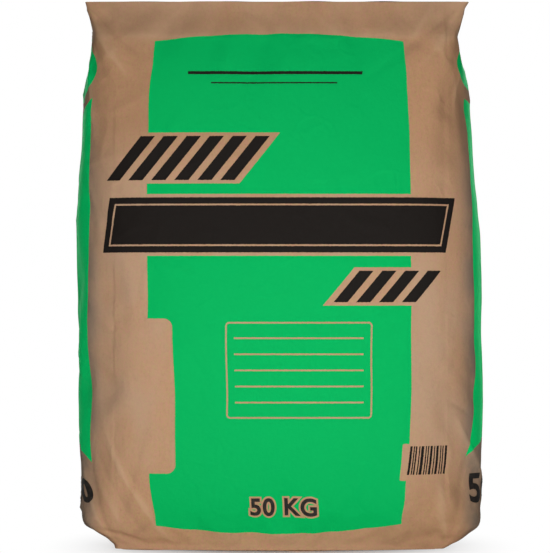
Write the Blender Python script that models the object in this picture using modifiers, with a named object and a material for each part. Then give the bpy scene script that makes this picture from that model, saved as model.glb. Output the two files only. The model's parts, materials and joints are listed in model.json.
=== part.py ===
"""A full 50 kg cement sack: pasted kraft paper, block ends, standing on its bottom.

Frame: metres, +Z up, origin on the floor under the middle of the sack.
+X runs along the width, the front face looks towards -Y.
"""

import bpy
import bmesh
from mathutils import Vector

# Driving dimensions of the sack
sack_height = 0.563          # floor to the top cover sheet
sheet_thickness = 0.0013     # a pasted cover sheet with the paste and folds under it
fit_gap = 0.0003             # clearance between two neighbouring pieces
top_block_depth = 0.108      # front to back of the folded top block
bottom_block_depth = 0.116   # front to back of the folded bottom block
full_depth = 0.160           # front to back where the sack bulges most

# The folded edges of a block bow a little: long ones out, short ones in
long_edge_bow = 0.004
short_edge_bow = 0.0025

# Cover sheets stop short of the folded edges of their block
sheet_side_margin = 0.004
sheet_end_margin = 0.0045
sheet_corner_radius = 0.004

# The valve sleeve lies flat in a shallow seat under the top cover sheet
sleeve_length = 0.075
sleeve_width = 0.088
sleeve_thickness = 0.0012
sleeve_mouth_inset = 0.004   # from the left corners of the top block

# Heights between which the filled body lies
body_bottom = sheet_thickness + fit_gap
body_top = sack_height - sheet_thickness - fit_gap

# Stations of the filled body, bottom to top:
# height, left edge, right edge, depth, squareness of the section
# (2 is an ellipse, larger is closer to a rectangle)
block_squareness = 60.0
stations = (
    (body_bottom, -0.1680, 0.1650, bottom_block_depth, block_squareness),
    (0.007, -0.1690, 0.1670, bottom_block_depth + 0.008, 30.0),
    (0.030, -0.2037, 0.2078, 0.140, 12.0),
    (0.060, -0.2052, 0.2097, 0.151, 7.0),
    (0.117, -0.2081, 0.2117, 0.159, 5.0),
    (0.195, -0.2120, 0.2127, full_depth, 4.2),
    (0.283, -0.2131, 0.2112, 0.160, 4.0),
    (0.371, -0.2113, 0.2062, 0.154, 4.0),
    (0.439, -0.2072, 0.1994, 0.144, 4.4),
    (0.488, -0.1993, 0.1929, 0.133, 5.0),
    (0.523, -0.1924, 0.1834, 0.122, 7.0),
    (0.5465, -0.1947, 0.1876, 0.113, 14.0),
    (body_top, -0.2001, 0.1934, top_block_depth, block_squareness),
)

# Columns of the cage across the width and the depth, each from -1 to 1
width_columns = (-1.0, -0.95, -0.84, -0.64, -0.34, 0.0, 0.34, 0.64, 0.84, 0.95, 1.0)
depth_columns = (-1.0, -0.88, -0.55, 0.0, 0.55, 0.88, 1.0)

fold_crease = 1.0            # the folded edges of the two blocks
corner_crease = 0.8          # where the lower corners turn under

kraft_brown = (0.42, 0.25, 0.14, 1.0)
sheet_brown = (0.47, 0.29, 0.17, 1.0)
sleeve_brown = (0.52, 0.35, 0.22, 1.0)
paper_roughness = 0.78


def clear_scene():
    for old_object in list(bpy.data.objects):
        bpy.data.objects.remove(old_object, do_unlink=True)


def make_collection(name):
    collection = bpy.data.collections.new(name)
    bpy.context.scene.collection.children.link(collection)
    return collection


def paper_material(name, colour):
    material = bpy.data.materials.new(name)
    material.use_nodes = True
    shader = material.node_tree.nodes["Principled BSDF"]
    shader.inputs["Base Color"].default_value = colour
    shader.inputs["Roughness"].default_value = paper_roughness
    shader.inputs["Metallic"].default_value = 0.0
    return material


def add_object(name, mesh_builder, material, collection):
    mesh = bpy.data.meshes.new(name)
    mesh_builder.to_mesh(mesh)
    mesh_builder.free()
    new_object = bpy.data.objects.new(name, mesh)
    collection.objects.link(new_object)
    if material is not None:
        mesh.materials.append(material)
    return new_object


def cut_across(mesh_builder, axis, positions):
    """Slice the whole cage with planes square to one axis."""
    normal = Vector((0.0, 0.0, 0.0))
    normal[axis] = 1.0
    for position in positions:
        everything = mesh_builder.verts[:] + mesh_builder.edges[:] + mesh_builder.faces[:]
        bmesh.ops.bisect_plane(
            mesh_builder, geom=everything, plane_co=normal * position, plane_no=normal
        )


def section_point(across, through, squareness):
    """Move a point of the unit square onto a section with rounded corners."""
    reach = max(abs(across), abs(through))
    if reach == 0.0:
        return 0.0, 0.0
    rounded = (abs(across) ** squareness + abs(through) ** squareness) ** (1.0 / squareness)
    return across * reach / rounded, through * reach / rounded


def build_sack(material, collection):
    """The filled body: a cage of sections, smoothed, with folded edges kept sharp."""
    last_row = len(stations) - 1
    cage = bmesh.new()
    bmesh.ops.create_cube(cage, size=2.0)
    for vertex in cage.verts:
        vertex.co.z = 0.0 if vertex.co.z < 0.0 else float(last_row)
    cut_across(cage, 0, width_columns[1:-1])
    cut_across(cage, 1, depth_columns[1:-1])
    cut_across(cage, 2, range(1, last_row))

    crease = cage.edges.layers.float.new("crease_edge")
    for edge in cage.edges:
        rows = {round(vertex.co.z) for vertex in edge.verts}
        on_wall = all(max(abs(vertex.co.x), abs(vertex.co.y)) > 0.99 for vertex in edge.verts)
        on_end = all(abs(vertex.co.x) > 0.99 for vertex in edge.verts)
        if on_wall and rows in ({0}, {last_row}):
            edge[crease] = fold_crease
        elif on_end and rows in ({1}, {2}):
            edge[crease] = corner_crease

    for vertex in cage.verts:
        height, left, right, depth, squareness = stations[round(vertex.co.z)]
        across, through = section_point(vertex.co.x, vertex.co.y, squareness)
        bow = squareness / block_squareness
        half_width = (right - left) / 2.0 - bow * short_edge_bow * (1.0 - through**2)
        half_depth = depth / 2.0 + bow * long_edge_bow * (1.0 - across**2)
        vertex.co.x = (left + right) / 2.0 + across * half_width
        vertex.co.y = through * half_depth
        vertex.co.z = height

    sack = add_object("sack", cage, material, collection)
    smoothing = sack.modifiers.new("smooth paper", "SUBSURF")
    smoothing.levels = 1
    smoothing.render_levels = 1
    return sack


def flat_sheet(name, left, right, depth, bottom, thickness, material, collection):
    """A thin sheet with rounded corners, from a box with its four uprights bevelled."""
    sheet = bmesh.new()
    bmesh.ops.create_cube(sheet, size=1.0)
    for vertex in sheet.verts:
        vertex.co.x = right if vertex.co.x > 0.0 else left
        vertex.co.y *= depth
        vertex.co.z = bottom + (thickness if vertex.co.z > 0.0 else 0.0)
    uprights = [edge for edge in sheet.edges if edge.verts[0].co.xy == edge.verts[1].co.xy]
    bmesh.ops.bevel(
        sheet,
        geom=uprights,
        offset=sheet_corner_radius,
        segments=3,
        affect="EDGES",
        profile=0.5,
        clamp_overlap=True,
    )
    return add_object(name, sheet, material, collection)


def seat_for_sleeve(sack, left_end, collection):
    """Cut the shallow seat that the valve sleeve lies in, open at the left end."""
    seat_depth = sleeve_thickness + fit_gap
    run_out = 0.010
    cutter = bmesh.new()
    bmesh.ops.create_cube(cutter, size=1.0)
    for vertex in cutter.verts:
        inner = left_end + sleeve_mouth_inset + sleeve_length + fit_gap
        vertex.co.x = inner if vertex.co.x > 0.0 else left_end - run_out
        vertex.co.y *= sleeve_width + 2.0 * fit_gap
        vertex.co.z = body_top + (run_out if vertex.co.z > 0.0 else -seat_depth)
    seat = add_object("sleeve_seat_cutter", cutter, None, collection)
    seat.hide_render = True
    seat.display_type = "WIRE"
    cut = sack.modifiers.new("sleeve seat", "BOOLEAN")
    cut.operation = "DIFFERENCE"
    cut.object = seat


def build():
    clear_scene()
    parts = make_collection("cement_sack")
    cutters = make_collection("cutters")
    kraft = paper_material("kraft_paper", kraft_brown)
    sheet_paper = paper_material("cover_sheet_paper", sheet_brown)
    sleeve_paper = paper_material("sleeve_paper", sleeve_brown)

    sack = build_sack(kraft, parts)
    top_left = stations[-1][1]
    top_right = stations[-1][2]
    bottom_left = stations[0][1]
    bottom_right = stations[0][2]
    seat_for_sleeve(sack, top_left, cutters)

    flat_sheet(
        "bottom_cover_sheet",
        bottom_left + sheet_end_margin,
        bottom_right - sheet_end_margin,
        bottom_block_depth - 2.0 * sheet_side_margin,
        0.0,
        sheet_thickness,
        sheet_paper,
        parts,
    )
    flat_sheet(
        "top_cover_sheet",
        top_left + sheet_end_margin,
        top_right - sheet_end_margin,
        top_block_depth - 2.0 * sheet_side_margin,
        sack_height - sheet_thickness,
        sheet_thickness,
        sheet_paper,
        parts,
    )
    flat_sheet(
        "valve_sleeve",
        top_left + sleeve_mouth_inset,
        top_left + sleeve_mouth_inset + sleeve_length,
        sleeve_width,
        body_top - sleeve_thickness,
        sleeve_thickness,
        sleeve_paper,
        parts,
    )


build()
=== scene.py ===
import json
import math

import bpy
import bmesh
import numpy as np
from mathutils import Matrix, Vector, noise
from mathutils.bvhtree import BVHTree

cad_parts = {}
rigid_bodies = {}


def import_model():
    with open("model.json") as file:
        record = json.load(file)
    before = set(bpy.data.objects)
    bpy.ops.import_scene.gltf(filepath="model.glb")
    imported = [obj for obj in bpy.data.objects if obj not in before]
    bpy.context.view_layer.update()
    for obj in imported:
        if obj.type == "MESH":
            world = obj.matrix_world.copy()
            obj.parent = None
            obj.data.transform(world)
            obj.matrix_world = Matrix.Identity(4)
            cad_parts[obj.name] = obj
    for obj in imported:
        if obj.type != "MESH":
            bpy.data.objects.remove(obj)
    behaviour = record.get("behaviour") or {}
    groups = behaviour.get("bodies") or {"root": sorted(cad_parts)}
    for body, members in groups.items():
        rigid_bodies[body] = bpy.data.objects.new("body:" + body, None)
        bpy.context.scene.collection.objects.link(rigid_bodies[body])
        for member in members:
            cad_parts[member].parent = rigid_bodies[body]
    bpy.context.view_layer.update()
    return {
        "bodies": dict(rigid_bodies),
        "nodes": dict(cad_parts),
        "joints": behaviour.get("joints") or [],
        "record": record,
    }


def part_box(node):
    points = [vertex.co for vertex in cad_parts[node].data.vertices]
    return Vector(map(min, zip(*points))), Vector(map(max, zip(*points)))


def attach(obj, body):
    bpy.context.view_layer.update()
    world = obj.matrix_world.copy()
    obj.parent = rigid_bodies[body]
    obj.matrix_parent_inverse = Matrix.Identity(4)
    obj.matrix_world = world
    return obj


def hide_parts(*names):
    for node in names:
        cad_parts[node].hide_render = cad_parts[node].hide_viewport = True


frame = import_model()        # four nodes, one body: root
print("frame loaded:", sorted(frame["nodes"]))


# Camera: level with the middle of the sack, square on to its front

camera = {
    "distance": 2.5,
    "sideways": -0.0052,     # the photograph's middle column, in metres from the sack's middle
    "height": 0.2822,
    "viewHeight": 0.5801,    # what the frame's long side takes in at the sack's middle
    "sensor": 36.0,
    "clip": (0.1, 50.0),
}


def addCamera():
    data = bpy.data.cameras.new("camera")
    data.sensor_width = camera["sensor"]
    data.lens = camera["sensor"] * camera["distance"] / camera["viewHeight"]
    data.clip_start, data.clip_end = camera["clip"]
    holder = bpy.data.objects.new("camera", data)
    holder.location = (camera["sideways"], -camera["distance"], camera["height"])
    holder.rotation_euler = (math.radians(90.0), 0.0, 0.0)
    bpy.context.scene.collection.objects.link(holder)
    bpy.context.scene.camera = holder


addCamera()
print("camera placed")


# Small helpers

smoothAngle = 50             # edges sharper than this many degrees stay crisp


def deselectAll():
    active = bpy.context.view_layer.objects.active
    if active is not None and active.mode != "OBJECT":
        bpy.ops.object.mode_set(mode="OBJECT")
    bpy.ops.object.select_all(action="DESELECT")


def pick(piece):
    deselectAll()
    piece.select_set(True)
    bpy.context.view_layer.objects.active = piece


def applyModifiers(piece):
    pick(piece)
    for modifier in list(piece.modifiers):
        bpy.ops.object.modifier_apply(modifier=modifier.name)


def thicken(piece, paper):
    wall = piece.modifiers.new("paper", "SOLIDIFY")
    wall.thickness = paper
    wall.offset = -1
    applyModifiers(piece)


def shadeSmooth(piece):
    pick(piece)
    bpy.ops.object.shade_smooth_by_angle(angle=math.radians(smoothAngle))


def rename(piece, name):
    piece.name = name
    piece.data.name = name


def openMesh(piece, kind):
    # edit mode with nothing selected
    pick(piece)
    bpy.ops.object.mode_set(mode="EDIT")
    bpy.ops.mesh.select_mode(type=kind)
    bpy.ops.mesh.select_all(action="DESELECT")
    return bmesh.from_edit_mesh(piece.data)


def cutAt(spot, away, clear=False):
    bpy.ops.mesh.select_all(action="SELECT")
    bpy.ops.mesh.bisect(plane_co=spot, plane_no=away, clear_outer=clear)


def readArray(items, name, width, kind=float):
    flat = np.zeros(len(items) * width, dtype=kind)
    items.foreach_get(name, flat)
    return flat.reshape(-1, width)


def readPoints(mesh):
    return readArray(mesh.vertices, "co", 3)


def writePoints(mesh, points):
    mesh.vertices.foreach_set("co", points.ravel())
    mesh.update()


def readNormals(mesh):
    return readArray(mesh.vertices, "normal", 3)


def smoothCurve(knots, at):
    # height to value through the knots, with no overshoot between them
    x = np.array([k[0] for k in knots])
    y = np.array([k[1] for k in knots])
    rise = np.diff(y) / np.diff(x)
    slope = np.zeros(len(x))
    slope[0], slope[-1] = rise[0], rise[-1]
    for i in range(1, len(x) - 1):
        if rise[i - 1] * rise[i] > 0:
            slope[i] = 2 * rise[i - 1] * rise[i] / (rise[i - 1] + rise[i])
    at = np.clip(at, x[0], x[-1])
    i = np.clip(np.searchsorted(x, at, side="right") - 1, 0, len(x) - 2)
    h = x[i + 1] - x[i]
    t = (at - x[i]) / h
    return (
        (2 * t**3 - 3 * t**2 + 1) * y[i]
        + (t**3 - 2 * t**2 + t) * h * slope[i]
        + (-2 * t**3 + 3 * t**2) * y[i + 1]
        + (t**3 - t**2) * h * slope[i + 1]
    )


# The filled paper sack

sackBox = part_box("sack")
sack = {
    "bottom": sackBox[0].z,
    "top": sackBox[1].z,
    # height and sideways place of the two upright outlines, bottom to top
    "leftEdge": (
        (0.0016, -0.1696), (0.0050, -0.1708), (0.0090, -0.1748), (0.0133, -0.1802), (0.0235, -0.1982),
        (0.0262, -0.2024), (0.0300, -0.2048), (0.0445, -0.2056),
        (0.084, -0.2080), (0.128, -0.2100), (0.165, -0.2094), (0.202, -0.2104), (0.278, -0.2099),
        (0.373, -0.2093), (0.433, -0.2064), (0.482, -0.2020), (0.503, -0.1976), (0.519, -0.1942),
        (0.532, -0.1934), (0.542, -0.1947), (0.5527, -0.1970), (0.5617, -0.2006),
    ),
    "rightEdge": (
        (0.0016, 0.1686), (0.0048, 0.1745), (0.0090, 0.1804), (0.0133, 0.1862), (0.0205, 0.1962),
        (0.0285, 0.2070),
        (0.052, 0.2078), (0.072, 0.2068), (0.092, 0.2088), (0.112, 0.2094), (0.170, 0.2100),
        (0.252, 0.2104), (0.301, 0.2083), (0.372, 0.2046),
        (0.432, 0.1990), (0.467, 0.1948), (0.4925, 0.1933), (0.509, 0.1888), (0.5195, 0.1867),
        (0.530, 0.1866), (0.541, 0.1886), (0.552, 0.1912), (0.5617, 0.1944),
    ),
    # height and half the depth
    "halfDepth": (
        (0.0016, 0.0580), (0.0072, 0.0600), (0.0095, 0.0613), (0.019, 0.0654), (0.030, 0.0692),
        (0.060, 0.0745),
        (0.117, 0.0785), (0.195, 0.0800), (0.283, 0.0795), (0.371, 0.0765), (0.439, 0.0722),
        (0.490, 0.0678), (0.5265, 0.0636), (0.545, 0.0586), (0.5617, 0.0540),
    ),
    # height and squareness of the section: 2 is an ellipse, more is closer to a rectangle
    "squareness": (
        (0.0016, 60.0), (0.008, 26.0), (0.030, 11.0), (0.060, 6.5), (0.117, 4.6), (0.195, 4.0),
        (0.283, 3.9), (0.371, 4.0), (0.439, 4.4), (0.490, 5.4), (0.527, 8.0), (0.545, 15.0),
        (0.5617, 60.0),
    ),
    # height and the rows of the grid from there up to the next height
    "bands": (
        (0.0016, 2), (0.0070, 1), (0.0090, 5), (0.0235, 1), (0.0262, 77), (0.5592, 1), (0.5617, 0),
    ),
    "columns": 72,
    "layers": 28,
    "growth": 0.014,         # how much larger the paper is than the form it lies on
    "pressure": 2.5,
    "stiffness": 60.0,
    "bending": 6.0,
    "damping": 20.0,
    "frames": 22,
    "rimHeld": 0.6,          # how firmly the row next to each block's rim is held
    "mostMove": 0.007,
    "fitRows": 2.0,          # rows over which the fit back to the outline is evened out
    "fitExact": 0.050,       # and how near a block it becomes exact
    "rimCrease": 0.75,
    "endLift": 0.0017,       # how far the ends of the base stand off the floor
    "endBend": 2.4,
    "endMost": 1.2,          # beyond its ends the base goes on rising this far
    "endsMap": 2.0,          # where the flat ends start on the map
}


def splitAlong(block, axis, cuts):
    # divide every edge that runs along one axis
    mesh = openMesh(block, "EDGE")
    for edge in mesh.edges:
        run = edge.verts[1].co - edge.verts[0].co
        if abs(run[axis]) > 0.99 * run.length:
            edge.select = True
    bmesh.update_edit_mesh(block.data)
    bpy.ops.mesh.subdivide(number_cuts=cuts)
    bpy.ops.object.mode_set(mode="OBJECT")


def rowHeights():
    heights = []
    for (low, rows), (high, _) in zip(sack["bands"], sack["bands"][1:]):
        heights += [low + (high - low) * i / rows for i in range(rows)]
    return np.array(heights + [sack["bands"][-1][0]])


def sectionPoints(across, through, heights):
    # a point of the unit square, moved onto the rounded section at its height
    n = smoothCurve(sack["squareness"], heights)
    left = smoothCurve(sack["leftEdge"], heights)
    right = smoothCurve(sack["rightEdge"], heights)
    half = smoothCurve(sack["halfDepth"], heights)
    reach = np.maximum(np.abs(across), np.abs(through))
    rounded = (np.abs(across) ** n + np.abs(through) ** n) ** (1 / n)
    scale = np.divide(reach, rounded, out=np.zeros_like(reach), where=rounded > 0)
    x = (left + right) / 2 + across * scale * (right - left) / 2
    y = through * scale * half
    return np.stack((x, y, heights), axis=1)


def addSackForm():
    # a block cut into a fine grid, then drawn onto the sack's sections
    heights = rowHeights()
    rows = len(heights) - 1
    deselectAll()
    bpy.ops.mesh.primitive_cube_add(size=2)
    form = bpy.context.object
    rename(form, "filled_sack")
    splitAlong(form, 0, sack["columns"] - 1)
    splitAlong(form, 1, sack["layers"] - 1)
    splitAlong(form, 2, rows - 1)
    grid = readPoints(form.data)
    row = np.rint((grid[:, 2] + 1) / 2 * rows).astype(int)
    points = sectionPoints(grid[:, 0], grid[:, 1], heights[row])
    writePoints(form.data, points)
    return form, grid, row


def mapPaper(form, grid, row):
    # the paper's own map, in metres: round the girth from the middle of the front, and up the sack
    mesh = form.data
    points = readPoints(mesh)
    wall = (np.abs(grid[:, 0]) > 0.999) | (np.abs(grid[:, 1]) > 0.999)
    turn = np.zeros(len(points))
    backMiddle = np.zeros((row.max() + 1, 2))    # reached round the left side, and round the right
    for r in range(row.max() + 1):
        ring = np.where(wall & (row == r))[0]
        angle = np.arctan2(grid[ring, 0], -grid[ring, 1])
        angle[angle < 1e-6 - math.pi] += 2 * math.pi
        order = np.argsort(angle, kind="stable")
        ring, angle = ring[order], angle[order]
        step = np.linalg.norm(np.diff(points[ring], axis=0), axis=1)
        run = np.concatenate(([0.0], np.cumsum(step)))
        turn[ring] = run - np.interp(0.0, angle, run)
        girth = run[-1] + np.linalg.norm(points[ring[0]] - points[ring[-1]])
        backMiddle[r] = turn[ring[-1]] - girth, turn[ring[-1]]
    while mesh.uv_layers:
        mesh.uv_layers.remove(mesh.uv_layers[0])
    mesh.uv_layers.new(name="paper")
    mesh.uv_layers.new(name="print")
    layer, printLayer = mesh.uv_layers["paper"], mesh.uv_layers["print"]
    for face in mesh.polygons:
        corners = list(face.vertices)
        flatEnd = abs(face.normal.z) > 0.95 and len({row[c] for c in corners}) == 1
        onBack, onRight = face.center.y > 0, grid[corners, 0].sum() > 0
        for loop, corner in zip(face.loop_indices, corners):
            x, y, z = points[corner]
            if flatEnd:
                # nothing is printed on the flat ends
                layer.data[loop].uv = (sack["endsMap"] + x, y)
                printLayer.data[loop].uv = (x, y - sack["endsMap"])
                continue
            u = turn[corner]
            middle = backMiddle[row[corner], int(onRight)]
            if onBack and u > 0 and not onRight:
                u = middle
            # the print map starts again from the middle of the back, one metre on
            printed = 1 + u - middle if onBack else u
            layer.data[loop].uv = (u, z)
            printLayer.data[loop].uv = (printed, z)
    return wall


def creaseRims(form, wall, row):
    # the folded edges of the two blocks stay crisp when the grid is smoothed
    mesh = form.data
    crease = mesh.attributes.new("crease_edge", "FLOAT", "EDGE")
    last = row.max()
    values = np.zeros(len(mesh.edges))
    for edge in mesh.edges:
        a, b = edge.vertices
        if wall[a] and wall[b] and row[a] == row[b] and row[a] in (0, last):
            values[edge.index] = sack["rimCrease"]
    crease.data.foreach_set("value", values)


def swellPaper(form, row):
    # the paper is a little too large for its filling, so it puckers where the filling lets it
    start = readPoints(form.data)
    normals = readNormals(form.data)
    held = form.vertex_groups.new(name="held")
    for index in range(len(start)):
        edge = min(row[index], row.max() - row[index])
        if edge <= 1:
            held.add([index], 1.0 if edge == 0 else sack["rimHeld"], "REPLACE")
    cloth = form.modifiers.new("paper", "CLOTH")
    settings = cloth.settings
    settings.quality = 6
    settings.mass = 0.2
    for kind in ("tension", "compression", "shear"):
        setattr(settings, kind + "_stiffness", sack["stiffness"])
        setattr(settings, kind + "_damping", sack["damping"])
    settings.bending_stiffness = sack["bending"]
    settings.air_damping = 4
    settings.use_pressure = True
    settings.uniform_pressure_force = sack["pressure"]
    settings.shrink_min = -sack["growth"]
    settings.vertex_group_mass = "held"
    settings.pin_stiffness = 5
    settings.effector_weights.gravity = 0.0
    cloth.collision_settings.use_collision = False
    cloth.point_cache.frame_start = 1
    cloth.point_cache.frame_end = sack["frames"]
    scene = bpy.context.scene
    for step in range(1, sack["frames"] + 1):
        scene.frame_set(step)
    pick(form)
    bpy.ops.object.modifier_apply(modifier="paper")
    scene.frame_set(1)
    # only the part square to the paper is kept, so that the print on it stays straight
    moved = ((readPoints(form.data) - start) * normals).sum(axis=1)
    print("paper moved", round(float(np.abs(moved).mean()) * 1000, 2), "mm on average")
    moved = sack["mostMove"] * np.tanh(moved / sack["mostMove"])
    writePoints(form.data, start + normals * moved[:, None])
    form.vertex_groups.clear()


def evenOut(values, reach):
    # weighted mean of each row and its neighbours
    rows = np.arange(len(values))
    weight = np.exp(-0.5 * ((rows[:, None] - rows[None, :]) / reach) ** 2)
    return weight @ values / weight.sum(axis=1)


def fitOutline(form, wall, row):
    # bring every row back to the width and depth that the sack has at its height
    points = readPoints(form.data)
    heights = rowHeights()
    wanted = (
        (0, smoothCurve(sack["leftEdge"], heights), smoothCurve(sack["rightEdge"], heights)),
        (1, -smoothCurve(sack["halfDepth"], heights), smoothCurve(sack["halfDepth"], heights)),
    )
    rim = np.minimum(sack["top"] - heights, heights - sack["bottom"])
    free = np.clip(rim / sack["fitExact"] - 0.5, 0, 1)
    for axis, low, high in wanted:
        least = np.array([points[wall & (row == r), axis].min() for r in range(len(heights))])
        most = np.array([points[wall & (row == r), axis].max() for r in range(len(heights))])
        lowMove = free * evenOut(low - least, sack["fitRows"]) + (1 - free) * (low - least)
        highMove = free * evenOut(high - most, sack["fitRows"]) + (1 - free) * (high - most)
        part = (points[:, axis] - least[row]) / (most - least)[row]
        points[:, axis] += lowMove[row] * (1 - part) + highMove[row] * part
    writePoints(form.data, points)


# Creases and dents in the paper

creases = {
    # each fold: from (round, up) to (round, up) on the paper, its height and its width, in metres
    "front": (
        (-0.194, 0.5270, 0.005, 0.5282, 0.0011, 0.0080),
        (-0.010, 0.5282, 0.186, 0.5262, 0.0011, 0.0080),
        (-0.196, 0.104, -0.142, 0.020, -0.0009, 0.0055),
        (-0.186, 0.116, -0.124, 0.018, 0.0009, 0.0045),
        (-0.170, 0.104, -0.118, 0.026, -0.0007, 0.0050),
        (-0.194, 0.078, -0.156, 0.014, 0.0008, 0.0045),
        (-0.196, 0.150, -0.160, 0.072, 0.0007, 0.0055),
        (-0.156, 0.066, -0.116, 0.012, 0.0007, 0.0050),
        (0.162, 0.012, 0.170, 0.098, 0.0003, 0.0060),
        (0.170, 0.014, 0.198, 0.080, -0.0004, 0.0060),
        (0.196, 0.470, 0.160, 0.519, 0.0010, 0.0050),
        (0.190, 0.500, 0.132, 0.522, -0.0007, 0.0055),
        (-0.196, 0.486, -0.150, 0.521, 0.0008, 0.0050),
        (-0.120, 0.532, -0.096, 0.559, 0.0006, 0.0050),
        (0.060, 0.533, 0.030, 0.559, 0.0005, 0.0050),
        (0.140, 0.530, 0.162, 0.558, 0.0007, 0.0050),
    ),
    "seed": 11,
    "fanFolds": 7,           # folds that spread from each corner of a block
    "fanSpread": 50,         # degrees to either side
    "fanJitter": 0.3,
    "fanGap": (0.006, 0.022),    # from the corner
    "fanLength": (0.045, 0.150),
    "fanHeight": 0.0034,
    "fanWidth": (0.0042, 0.0065),
    "strayFolds": 90,        # short folds all over
    "strayRound": 0.52,
    "strayUp": (0.03, 0.535),
    "strayLength": (0.018, 0.085),
    "strayHeight": 0.0015,
    "strayWidth": (0.0036, 0.0055),
    "frontShare": 0.36,      # the front is the smoothest side
    "frontHalf": (0.19, 0.17),    # half its width, for folds and for dents
    "cornerShare": (0.42, 0.42, 0.26, 0.12),    # and so are its corners: upper two, lower two
    "cornerLeast": 0.4,      # the least share of the folds that lead onto a narrow side
    "steepSide": 0.42,       # a fold is steeper on one side than on the other
    "foldEnds": 0.08,        # how bluntly it ends
    "middleFold": 0.0020,    # the flat tube's old fold, down the middle of each narrow side
    "middleFoldWidth": 0.0045,
    "dent": 0.0030,
    "dentSize": 0.075,
    "smallDent": 0.00050,
    "smallDentSize": 0.024,
    "dentStretch": (1, 1, 0.7),
    "sideTurn": (0.5, 0.8),  # how far sideways the paper faces where a narrow side begins, and is full
    "rimFade": 0.006,
    "rimWave": 0.0008,
    "rimWaveSize": 0.045,
    "rimRise": 0.0026,
    "rimHeight": 0.020,      # how far down the waves and the rise of the top reach
    "baseHeight": 0.050,     # how far up the bow of the base reaches
    "seatDepth": 0.0045,
}


def blockCorners():
    # the eight corners of the two blocks on the paper's map: round, up, which way is inwards, which
    # way the narrow side lies, and how strong the folds are that lead onto the front or back
    upper, lower = creases["cornerShare"][:2], creases["cornerShare"][2:]
    corners = []
    for height, inwards, shares in ((sack["top"], -1, upper), (sack["bottom"], 1, lower)):
        left, right, half = (
            float(smoothCurve(sack[name], np.array([height]))[0])
            for name in ("leftEdge", "rightEdge", "halfDepth")
        )
        corners += [
            (left, height, inwards, -1, shares[0]), (right, height, inwards, 1, shares[1]),
            (left - 2 * half, height, inwards, 1, 1), (right + 2 * half, height, inwards, -1, 1),
        ]
    return corners


def foldList(rng):
    folds = list(creases["front"])
    spread, jitter, least = (creases[name] for name in ("fanSpread", "fanJitter", "cornerLeast"))
    for u, height, inwards, side, share in blockCorners():
        for i in range(creases["fanFolds"]):
            step = (i + rng.uniform(-jitter, jitter)) / (creases["fanFolds"] - 1)
            lean = math.radians(-spread + 2 * spread * step)
            long = rng.uniform(*creases["fanLength"])
            gap = rng.uniform(*creases["fanGap"])
            across, up = math.sin(lean), inwards * math.cos(lean)
            rise = creases["fanHeight"] * rng.uniform(0.5, 1.0) * (1 if i % 2 else -1)
            rise *= share if across * side < 0 else least + (1 - least) * share
            far = gap + long
            ends = (u + across * gap, height + up * gap, u + across * far, height + up * far)
            folds.append((*ends, rise, rng.uniform(*creases["fanWidth"])))
    for _ in range(creases["strayFolds"]):
        u = rng.uniform(-creases["strayRound"], creases["strayRound"])
        v = rng.uniform(*creases["strayUp"])
        lean = rng.uniform(0, math.pi)
        long = rng.uniform(*creases["strayLength"])
        rise = creases["strayHeight"] * rng.uniform(-1, 1)
        if abs(u) < creases["frontHalf"][0]:
            rise *= creases["frontShare"]
        ends = (u, v, u + math.cos(lean) * long, v + math.sin(lean) * long)
        folds.append((*ends, rise, rng.uniform(*creases["strayWidth"])))
    return folds


def foldRelief(u, v, folds):
    # a fold has a sharp crest, one steep and one gentle side, and dies out at both ends
    relief = np.zeros(len(u))
    ends = creases["foldEnds"]
    for u0, v0, u1, v1, rise, width in folds:
        long = math.hypot(u1 - u0, v1 - v0)
        alongU, alongV = (u1 - u0) / long, (v1 - v0) / long
        along = (u - u0) * alongU + (v - v0) * alongV
        side = (u - u0) * alongV - (v - v0) * alongU
        part = np.clip(along / long, 0, 1)
        over = along - part * long
        reach = np.where(side > 0, width * creases["steepSide"], width)
        away = np.sqrt((side / reach) ** 2 + (over / width) ** 2)
        relief += rise * np.exp(-away) * np.sqrt(np.sin(np.pi * (ends + (1 - 2 * ends) * part)))
    return relief


def noiseField(points, size, seed):
    # each seed looks at another part of the noise
    offset = Vector((seed * 1.7, seed * 0.9, seed * 2.3))
    return np.array([noise.noise(Vector(p) / size + offset) for p in points])


def paperMap(mesh):
    # round and up for every point of the wall; points of the flat ends are left out
    uv = readArray(mesh.uv_layers["paper"].data, "uv", 2)
    corner = readArray(mesh.loops, "vertex_index", 1, int)[:, 0]
    onWall = uv[:, 0] < sack["endsMap"] / 2
    places = np.zeros((len(mesh.vertices), 2))
    isWall = np.zeros(len(mesh.vertices), dtype=bool)
    places[corner[onWall]] = uv[onWall]
    isWall[corner[onWall]] = True
    return places[:, 0], places[:, 1], isWall


def baseLift(x):
    reach = np.clip(np.abs(x) / -sack["leftEdge"][0][1], 0, sack["endMost"])
    return sack["endLift"] * reach ** sack["endBend"]


def sleeveMouth(x, y):
    # 1 at the middle of the open mouth, 0 where the sleeve lies flat
    low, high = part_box("valve_sleeve")
    along = np.clip((high.x - x) / (high.x - low.x), 0, 1)
    across = np.clip(1 - (y / high.y) ** 2, 0, 1)
    return along ** sleeve["mouthBend"] * across


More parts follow.
